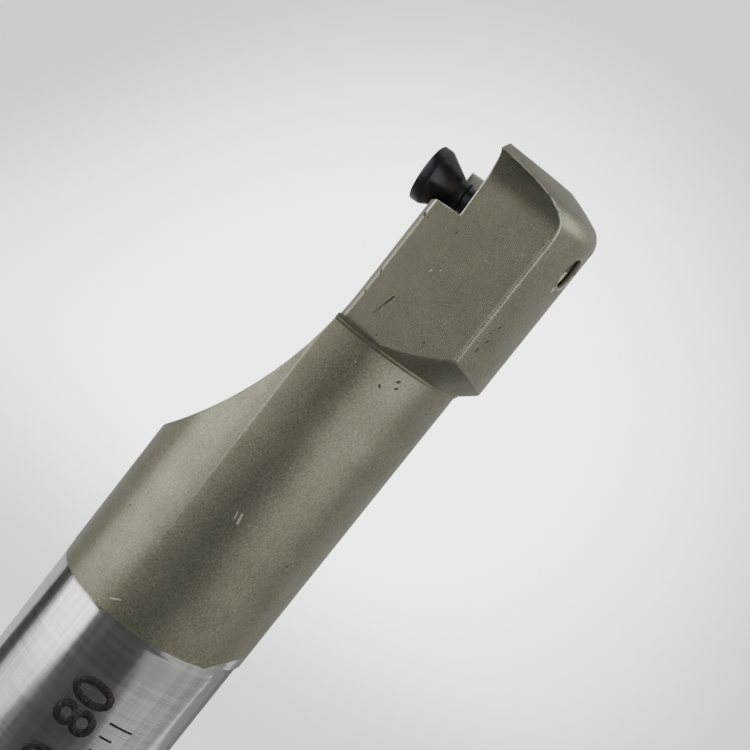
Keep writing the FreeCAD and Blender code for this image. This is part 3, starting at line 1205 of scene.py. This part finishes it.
@dataclass
class ClampScrew:
    """The clamp screw, with a thread and a six-lobe socket; heights are above the seat's floor."""

    effects: SharedEffects
    place: Matrix
    thread: ThreadForm = ThreadForm()
    rise: float = 6.95
    head_radius: float = 3.55
    rim_height: float = 1.25
    rim_chamfer: float = 0.15
    foot_radius: float = 2.0
    foot_height: float = 0.35
    cone_half_angle: float = 30.0
    collar_radius: float = 1.8
    collar_height: float = 1.2
    neck_radius: float = 1.55
    neck_length: float = 3.2
    thread_length: float = 7.0
    thread_run_out: float = 0.4
    socket_depth: float = 1.7
    socket_core: float = 1.2
    socket_break: float = 0.1
    socket_floor_share: float = 0.4
    lobe_radius: float = 0.45
    lobe_centre: float = 1.225
    lobe_count: int = 6
    columns: int = 144
    rows_per_turn: int = 9
    smooth_below: float = 35.0

    def lobe_outline(self, angle: float, swell: float = 0.0) -> float:
        """Work out the socket's radius at an angle.

        Args:
            angle: The angle in radians.
            swell: How much wider than the socket it is.

        Returns:
            The radius.
        """
        period = FULL_TURN / self.lobe_count
        off = (angle + period / 2) % period - period / 2
        reach = self.lobe_radius ** 2 - (self.lobe_centre * math.sin(off)) ** 2
        lobe = self.lobe_centre * math.cos(off) + math.sqrt(reach) if reach > 0 else 0.0
        return max(self.socket_core, lobe) + swell

    def rows(self) -> list[tuple[float, object]]:
        """Draw the screw from the socket's floor over the head to the tip.

        Returns:
            Rows of a height and a radius, or a radius for each angle. The small amounts soften
            the corners.
        """
        top = self.rise
        socket_floor = top - self.socket_depth
        chamfer = self.rim_chamfer
        rim_low = top - self.rim_height
        cone = (self.head_radius - self.foot_radius) / math.tan(math.radians(self.cone_half_angle))
        collar_low = rim_low - cone - self.collar_height
        start = collar_low - self.neck_length
        end = start - self.thread_length
        rows: list[tuple[float, object]] = [
            (socket_floor, self.socket_core * self.socket_floor_share),
            (socket_floor, lambda angle: self.lobe_outline(angle, -0.04)),
            (socket_floor + 0.04, self.lobe_outline),
            (top - self.socket_break, self.lobe_outline),
            (top, lambda angle: self.lobe_outline(angle, self.socket_break)),
            (top, self.head_radius - chamfer - 0.03),
            (top - 0.02, self.head_radius - chamfer + 0.01),
            (top - chamfer + 0.04, self.head_radius - 0.03),
            (top - chamfer - 0.04, self.head_radius),
            (rim_low + 0.07, self.head_radius),
            (rim_low - 0.08, self.head_radius - 0.055),
            (rim_low - cone + 0.03, self.foot_radius + 0.02),
            (rim_low - cone - 0.03, self.foot_radius - 0.02),
            (rim_low - cone - self.foot_height, self.collar_radius),
            (collar_low + 0.03, self.collar_radius),
            (collar_low - 0.02, self.collar_radius - 0.04),
            (collar_low - self.rim_chamfer, self.neck_radius),
            (start, self.neck_radius),
        ]
        count = round(self.thread_length / self.thread.pitch * self.rows_per_turn)
        for step in range(1, count):
            height = start - self.thread_length * step / count
            rows.append((height, self.thread_row(height, start)))
        return [*rows, (end, self.neck_radius - 0.05), (end - 0.001, self.neck_radius * 0.5)]

    def thread_row(self, height: float, start: float) -> object:
        """Draw one row of the thread, faded in and out at its ends.

        Args:
            height: The row's height.
            start: The height where the thread starts.

        Returns:
            A function from an angle to a radius.
        """
        inside = min(start - height, height - start + self.thread_length)
        fade = min(inside / self.thread_run_out, 1.0)
        limit = self.neck_radius + (self.thread.crest - self.neck_radius) * fade
        return lambda angle: min(self.thread.radius(height, angle), limit)

    def add_ring(self, work: BMesh, height: float, radius: object) -> list[bmesh.types.BMVert]:
        """Add one row's points to the screw.

        Args:
            work: The screw's mesh.
            height: The row's height.
            radius: Its radius, or a radius for each angle.

        Returns:
            The points in order.
        """
        ring = []
        for column in range(self.columns):
            angle = FULL_TURN * column / self.columns
            reach = radius(angle) if callable(radius) else radius
            spot = Vector((reach * math.cos(angle), reach * math.sin(angle), height)) * MM
            ring.append(work.verts.new(spot))
        return ring

    def build(self) -> bpy.types.Object:
        """Build the screw and let it stand for its node.

        Returns:
            The screw.
        """
        mesh = bpy.data.meshes.new("screw_body")
        with editing(mesh) as work:
            rings = [self.add_ring(work, height, radius) for height, radius in self.rows()]
            for upper, lower in zip(rings, rings[1:]):
                for column in range(self.columns):
                    after = (column + 1) % self.columns
                    work.faces.new((upper[column], lower[column], lower[after], upper[after]))
            for ring in (rings[0], rings[-1]):
                middle = work.verts.new(Vector((0.0, 0.0, ring[0].co.z)))
                for column in range(self.columns):
                    work.faces.new((middle, ring[column], ring[(column + 1) % self.columns]))
            bmesh.ops.recalc_face_normals(work, faces=work.faces)
            bmesh.ops.transform(work, matrix=self.place, verts=work.verts)
        shade_smooth(mesh, self.smooth_below)
        thing = link_object("screw_body", mesh)
        mesh.materials.append(BlackOxideFinish().build(self.effects))
        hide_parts("clamp_screw")
        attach(thing, "root")
        return thing


@dataclass
class BoreThread:
    """The thread cut in the clamp screw's hole, a ridge that winds along its wall."""

    effects: SharedEffects
    place: Matrix
    thread: ThreadForm = ThreadForm()
    start_turn: int = -18
    turns: int = 17
    steps_per_turn: int = 40
    half_width: float = 0.28
    smooth_below: float = 30.0

    def tree(self) -> Tree:
        """Make a tree that winds a three-sided bar into a helix.

        Returns:
            The tree.
        """
        inputs = sockets(
            Int="Turns, Steps",
            Float="First Turn, Pitch, Root Radius, Crest Radius, Half Width",
            Material="Material",
        )
        graph, source, result = new_group(
            "winding_ridge", "GeometryNodeTree", inputs, sockets(Geometry="Geometry")
        )
        count = graph.times(source["Turns"], source["Steps"])
        stick = graph.node(
            "GeometryNodeMeshCylinder",
            {"Vertices": 3, "Side Segments": count, "Radius": 1.0, "Depth": 1.0},
        )
        # The stick's three-sided section is 1.5 deep and the root of 3 wide
        place = graph.split(graph.node("GeometryNodeInputPosition").outputs[0])
        share = graph.plus(place["Z"], 0.5)
        turn = graph.scale_add(share, source["Turns"], source["First Turn"])
        angle = graph.times(turn, FULL_TURN)
        depth = graph.minus(source["Root Radius"], source["Crest Radius"])
        inward = graph.times(graph.plus(place["X"], 0.5), graph.math("DIVIDE", depth, 1.5))
        radius = graph.minus(source["Root Radius"], inward)
        breadth = graph.math("DIVIDE", source["Half Width"], math.sqrt(0.75))
        aside = graph.times(place["Y"], breadth)
        height = graph.scale_add(graph.plus(turn, 0.5), source["Pitch"], aside)
        spot = graph.point(
            graph.times(radius, graph.math("COSINE", angle)),
            graph.times(radius, graph.math("SINE", angle)),
            height,
        )
        wound = {"Geometry": stick.outputs["Mesh"], "Position": spot}
        end_tree(graph, source, result, graph.node("GeometryNodeSetPosition", wound).outputs[0])
        return graph.tree

    def build(self) -> bpy.types.Object:
        """Build the ridge in its hole.

        Returns:
            The ridge.
        """
        values = {
            "Turns": self.turns,
            "Steps": self.steps_per_turn,
            "First Turn": float(self.start_turn),
            "Pitch": self.thread.pitch * MM,
            "Root Radius": self.thread.bore_root * MM,
            "Crest Radius": self.thread.bore_crest * MM,
            "Half Width": self.half_width * MM,
            "Material": TappedSteelFinish().build(self.effects),
        }
        thing = grow("bore_thread", self.tree(), values)
        with editing(thing.data) as work:
            bmesh.ops.transform(work, matrix=self.place, verts=work.verts)
            bmesh.ops.recalc_face_normals(work, faces=work.faces)
        shade_smooth(thing.data, self.smooth_below)
        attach(thing, "root")
        return thing


@dataclass
class ReachScale:
    """A plain burnt-in graduation on the shank, which reads the distance to the nose in mm."""

    effects: SharedEffects
    radius: float = 12.5
    proud: float = 0.012
    sunk: float = 0.03
    number_turn: float = 17.5
    number_size: float = 7.4
    number_weight: float = 0.13
    number_weld: float = 0.001
    tick_turn: float = 33.0
    tick_width: float = 0.28
    tick_length: float = 1.7
    tick_pitch: float = 2.0
    long_every: int = 5
    long_extra: float = 0.9
    first_level: float = 20.0
    last_level: float = 120.0
    number_every: float = 10.0
    cut_every: float = 0.4
    cut_reach: int = 8

    def wrap(self, across: float, level: float, turn: float) -> Vector:
        """Lay a point on the shank.

        Args:
            across: The distance across its girth.
            level: The height along the bar.
            turn: Where across starts, in degrees.

        Returns:
            The point in metres.
        """
        reach = self.radius + self.proud
        angle = math.radians(turn) + across / reach
        return Vector((reach * math.sin(angle), -reach * math.cos(angle), level)) * MM

    def tree(self) -> Tree:
        """Make a tree for a row of ticks, each fifth one longer, bent round the shank.

        Returns:
            The tree.
        """
        inputs = sockets(
            Int="Count, Long Every",
            Float="Pitch, Level, Width, Length, Long Extra, Radius, Turn",
            Material="Material",
        )
        graph, source, result = new_group(
            "tick_row", "GeometryNodeTree", inputs, sockets(Geometry="Geometry")
        )
        row = {
            "Count": source["Count"],
            "Start Location": graph.point(z=source["Level"]),
            "Offset": graph.point(z=source["Pitch"]),
        }
        line = graph.node("GeometryNodeMeshLine", row).outputs[0]
        size = {"Size X": source["Length"], "Size Y": source["Width"]}
        size |= {"Vertices X": 9, "Vertices Y": 2}
        tick = graph.node("GeometryNodeMeshGrid", size).outputs["Mesh"]
        begin = {"Geometry": tick, "Translation": graph.point(graph.times(source["Length"], 0.5))}
        tick = graph.node("GeometryNodeTransform", begin).outputs[0]
        raised = {"Geometry": tick, "Rotation": (math.pi / 2, 0.0, 0.0)}
        tick = graph.node("GeometryNodeTransform", raised).outputs[0]
        index = graph.node("GeometryNodeInputIndex").outputs[0]
        is_long = graph.math("LESS_THAN", graph.math("MODULO", index, source["Long Every"]), 0.5)
        scale = graph.point(graph.scale_add(is_long, source["Long Extra"], 1.0), 1.0, 1.0)
        copies = {"Points": line, "Instance": tick, "Scale": scale}
        placed = graph.node("GeometryNodeInstanceOnPoints", copies).outputs[0]
        real = graph.node("GeometryNodeRealizeInstances", {0: placed}).outputs[0]
        place = graph.split(graph.node("GeometryNodeInputPosition").outputs[0])
        angle = graph.plus(graph.math("DIVIDE", place["X"], source["Radius"]), source["Turn"])
        spot = graph.point(
            graph.times(source["Radius"], graph.math("SINE", angle)),
            graph.times(source["Radius"], graph.times(graph.math("COSINE", angle), -1.0)),
            place["Z"],
        )
        bent = {"Geometry": real, "Position": spot}
        end_tree(graph, source, result, graph.node("GeometryNodeSetPosition", bent).outputs[0])
        return graph.tree

    def digits(self, text: str) -> bpy.types.Mesh:
        """Write a number as a flat mesh.

        Args:
            text: The digits.

        Returns:
            The mesh, centred.
        """
        curve = bpy.data.curves.new("digits", "FONT")
        curve.body = text
        curve.size = self.number_size
        curve.offset = self.number_weight
        curve.align_x = "CENTER"
        curve.align_y = "CENTER"
        curve.resolution_u = 4
        writer = bpy.data.objects.new("digits", curve)
        bpy.context.scene.collection.objects.link(writer)
        graph = bpy.context.evaluated_depsgraph_get()
        mesh = bpy.data.meshes.new_from_object(writer.evaluated_get(graph))
        bpy.data.objects.remove(writer)
        return mesh

    def number(self, text: str, level: float, work: BMesh) -> None:
        """Add one number, read towards the nose and centred on a level, to the marks.

        Args:
            text: The digits.
            level: The middle of the number along the bar.
            work: The mesh that takes it.
        """
        mesh = self.digits(text)
        with editing(mesh) as flat:
            bmesh.ops.remove_doubles(flat, verts=flat.verts, dist=self.number_weld)
            for cut in range(-self.cut_reach, self.cut_reach + 1):
                everything = flat.verts[:] + flat.edges[:] + flat.faces[:]
                middle = (0.0, cut * self.cut_every, 0.0)
                bmesh.ops.bisect_plane(
                    flat, geom=everything, plane_co=middle, plane_no=(0.0, 1.0, 0.0)
                )
            for vert in flat.verts:
                vert.co = self.wrap(-vert.co.y, level + vert.co.x, self.number_turn)
        work.from_mesh(mesh)
        bpy.data.meshes.remove(mesh)

    def build(self) -> bpy.types.Object:
        """Build the ticks and numbers as one thin piece.

        Returns:
            The graduation.
        """
        _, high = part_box("bar")
        length = high.z / MM
        values = {
            "Count": round((self.last_level - self.first_level) / self.tick_pitch) + 1,
            "Pitch": self.tick_pitch * MM,
            "Level": self.first_level * MM,
            "Width": self.tick_width * MM,
            "Length": self.tick_length * MM,
            "Long Every": self.long_every,
            "Long Extra": self.long_extra,
            "Radius": (self.radius + self.proud) * MM,
            "Turn": math.radians(self.tick_turn),
            "Material": BurntMarkFinish().build(self.effects),
        }
        thing = grow("reach_scale", self.tree(), values)
        with editing(thing.data) as work:
            level = self.first_level
            while level <= self.last_level:
                self.number(f"{length - level:.0f}", level, work)
                level += self.number_every
            self.face_out(work)
            for face in work.faces:
                face.material_index = 0
        thing.data.materials.clear()
        thing.data.materials.append(values["Material"])
        solid = thing.modifiers.new("burn_depth", "SOLIDIFY")
        solid.thickness = self.sunk * MM
        solid.offset = -1.0
        settle(thing)
        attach(thing, "root")
        return thing

    @staticmethod
    def face_out(work: BMesh) -> None:
        """Turn every mark's face away from the bar's axis.

        Args:
            work: The marks' mesh.
        """
        work.normal_update()
        for face in work.faces:
            middle = face.calc_center_median()
            if face.normal.dot(Vector((middle.x, middle.y, 0.0))) < 0:
                face.normal_flip()


@dataclass
class Lamp:
    """One soft box that aims at a point; turned from the bar's near side, lengths in metres."""

    name: str
    turn: float
    distance: float
    height: float
    width: float
    tall: float
    power: float
    aim: Point = (0.0, 0.0, 0.235)

    def build(self) -> None:
        """Hang the lamp, turned to its aim and hidden from the camera."""
        light = bpy.data.lights.new(self.name, "AREA")
        light.shape = "RECTANGLE"
        light.size = self.width
        light.size_y = self.tall
        light.energy = self.power
        thing = bpy.data.objects.new(self.name, light)
        angle = math.radians(self.turn)
        aside, ahead = self.distance * math.sin(angle), self.distance * math.cos(angle)
        thing.location = (aside, -ahead, self.height)
        away = thing.location - Vector(self.aim)
        thing.rotation_euler = away.to_track_quat("Z", "Y").to_euler()
        thing.visible_camera = False
        bpy.context.scene.collection.objects.link(thing)


@dataclass
class Flag:
    """A dull card that only reflections see; lengths in metres."""

    name: str
    centre: Point
    width: float
    tall: float
    tilt: float
    tone: float
    weave_scale: float = 900.0
    weave_share: float = 0.1
    roughness: float = 0.9

    def build(self) -> None:
        """Hang the card where only glossy rays meet it."""
        cloth, graph = new_material(self.name)
        weave = graph.noise(graph.node("ShaderNodeTexCoord").outputs["Object"], self.weave_scale)
        dark = (self.tone * (1 - self.weave_share),) * 3 + (1.0,)
        light = (self.tone * (1 + self.weave_share),) * 3 + (1.0,)
        colour = graph.mix(weave, dark, light)
        close_material(graph, {"Base Color": colour, "Roughness": self.roughness})
        tilt = Matrix.Rotation(math.radians(self.tilt), 4, "X")
        size = Matrix.Diagonal((self.width, self.tall, 1.0, 1.0))
        mesh = bpy.data.meshes.new(self.name)
        with editing(mesh) as work:
            bmesh.ops.create_grid(work, x_segments=2, y_segments=2, size=0.5)
            pose = Matrix.Translation(self.centre) @ tilt @ size
            bmesh.ops.transform(work, matrix=pose, verts=work.verts)
        mesh.materials.append(cloth)
        card = link_object(self.name, mesh)
        card.visible_camera = False
        card.visible_shadow = False
        card.visible_diffuse = False


@dataclass
class Studio:
    """Pale paper, soft boxes, cards and the camera, whose centre is in millimetres."""

    front: float = -1.6
    bend_start: float = 0.62
    bend_radius: float = 0.35
    top: float = 1.7
    half_width: float = 1.9
    bend_steps: int = 24
    world_tone: float = 0.05
    world_seen: float = 1.1
    camera_centre: Point = (47.19, -204.97, 196.64)
    camera_turn: float = 12.0
    camera_dip: float = 7.43
    camera_roll: float = 38.37
    camera_lens: float = 86.4
    sensor_width: float = 36.0
    clip_start: float = 0.01
    lamps: tuple[Lamp, ...] = (
        Lamp("left_box", -57.0, 0.30, 0.235, 0.32, 0.46, 1.08),
        Lamp("right_box", 66.0, 0.35, 0.28, 0.40, 0.46, 0.95),
        Lamp("right_high_box", 106.0, 0.36, 0.44, 0.38, 0.30, 0.90),
        Lamp("front_box", -16.0, 0.50, 0.25, 0.34, 0.46, 0.28),
        Lamp("top_box", 175.0, 0.25, 1.20, 1.10, 0.90, 2.2),
    )
    flags: tuple[Flag, ...] = (
        Flag("camera_side_flag", (0.0, -0.26, 0.035), 0.34, 0.07, 90.0, 0.08),
        Flag("floor_flag", (0.02, -0.17, 0.002), 0.42, 0.30, 0.0, 0.08),
        Flag("right_floor_flag", (0.40, 0.0, 0.002), 0.32, 0.60, 0.0, 0.42),
        Flag("left_floor_flag", (-0.36, 0.08, 0.002), 0.26, 0.13, 0.0, 0.08),
        Flag("shoulder_floor_flag", (0.09, 0.10, 0.002), 0.20, 0.18, 0.0, 0.08),
        Flag("back_floor_flag", (0.10, 0.37, 0.002), 0.22, 0.22, 0.0, 0.40),
    )

    def paper_profile(self) -> list[tuple[float, float]]:
        """Draw the paper's side view: a floor that bends up into a wall.

        Returns:
            The distances behind the bar and the heights.
        """
        profile = [(self.front, 0.0)]
        for step in range(self.bend_steps + 1):
            angle = math.pi / 2 * step / self.bend_steps
            along = self.bend_start + self.bend_radius * math.sin(angle)
            profile.append((along, self.bend_radius * (1 - math.cos(angle))))
        return [*profile, (self.bend_start + self.bend_radius, self.top)]

    def build_paper(self) -> None:
        """Lay the paper below and behind the bar."""
        profile = self.paper_profile()
        mesh = bpy.data.meshes.new("paper")
        with editing(mesh) as work:
            left, right = (
                [work.verts.new((x, y, z)) for y, z in profile]
                for x in (-self.half_width, self.half_width)
            )
            for step in range(len(profile) - 1):
                work.faces.new((left[step], right[step], right[step + 1], left[step + 1]))
        mesh.shade_smooth()
        mesh.materials.append(PaperFinish().build())
        link_object("paper", mesh)

    def build_world(self) -> None:
        """Fill the room with an even soft grey, which the camera sees as pale as the paper."""
        world = bpy.data.worlds.new("room")
        world.use_nodes = True
        graph = Graph(world.node_tree)
        given = (self.world_tone,) * 3 + (1.0,)
        seen = (self.world_seen,) * 3 + (1.0,)
        is_seen = graph.node("ShaderNodeLightPath").outputs["Is Camera Ray"]
        sky = graph.node("ShaderNodeBackground", {"Color": graph.mix(is_seen, given, seen)})
        graph.node("ShaderNodeOutputWorld", {"Surface": sky.outputs[0]})
        bpy.context.scene.world = world

    def build_camera(self) -> None:
        """Set the camera where the photograph was taken from."""
        dip = math.radians(self.camera_dip)
        swing = Matrix.Rotation(math.radians(self.camera_turn), 3, "Z")
        right = swing @ Vector((1.0, 0.0, 0.0))
        up = swing @ Vector((0.0, math.sin(dip), math.cos(dip)))
        level = Matrix((right, up, right.cross(up))).transposed()
        rolled = level @ Matrix.Rotation(math.radians(self.camera_roll), 3, "Z")
        camera = bpy.data.cameras.new("camera")
        camera.lens = self.camera_lens
        camera.sensor_width = self.sensor_width
        camera.clip_start = self.clip_start
        thing = bpy.data.objects.new("camera", camera)
        centre = Vector(self.camera_centre) * MM
        thing.matrix_world = Matrix.Translation(centre) @ rolled.to_4x4()
        bpy.context.scene.collection.objects.link(thing)
        bpy.context.scene.camera = thing

    def build(self) -> None:
        """Set the studio up round the bar."""
        self.build_paper()
        self.build_world()
        for thing in (*self.lamps, *self.flags):
            thing.build()
        self.build_camera()


def main() -> None:
    """Dress the bar, piece by piece, and set the studio."""
    logging.basicConfig(level=logging.INFO, format="%(message)s")
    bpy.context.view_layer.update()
    effects = SharedEffects.build()
    screw_place = SeatFrame().matrix()
    pieces = (
        BarBody(effects),
        ClampScrew(effects, screw_place),
        BoreThread(effects, screw_place),
        ReachScale(effects),
    )
    for piece in pieces:
        thing = piece.build()
        LOG.info("%s: %d faces", thing.name, len(thing.data.polygons))
    Studio().build()


if __name__ == "__main__":
    main()
